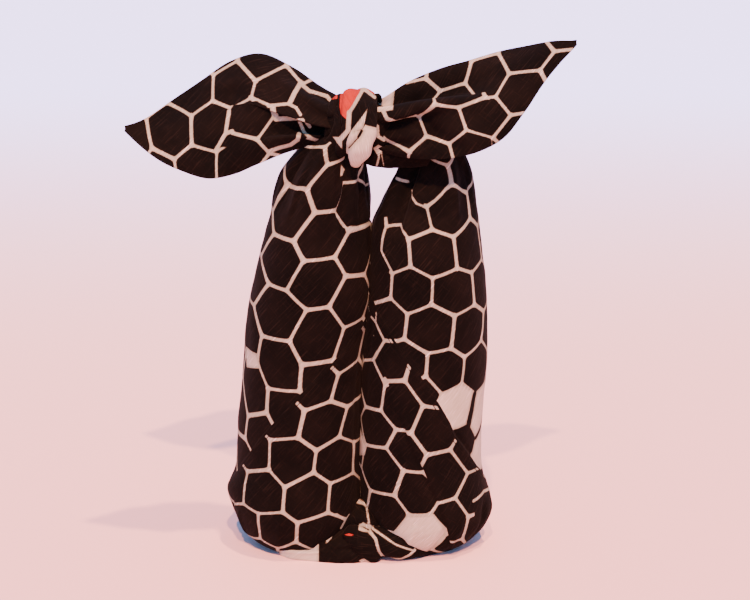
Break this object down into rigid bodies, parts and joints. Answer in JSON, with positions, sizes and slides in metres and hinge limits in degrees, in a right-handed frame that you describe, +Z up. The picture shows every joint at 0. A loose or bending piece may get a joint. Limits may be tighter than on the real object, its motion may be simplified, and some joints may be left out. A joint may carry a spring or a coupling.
{
  "type": "furoshiki wrap for two bottles",
  "caption": "Square patterned cotton cloth wound round a pair of upright bottles and tied on top, with leaf-shaped ears beside the knot and a finger gap under it.",
  "frame": {"origin": "on the floor, midway between the two wound sleeves, at the centre of the flat base", "axes": "+Z up, +X towards the sleeve on the right as seen from the front, -Y towards the front"},
  "size_m": [0.2836, 0.0842, 0.3399],
  "materials": {
    "cotton_print": "slubby plain-weave cotton, matt, dark brown with a cream hexagon net and a few cream or coral cells"
  },
  "bodies": {
    "root": {"furoshiki_cloth": "cotton_print"}
  },
  "joints": []
}
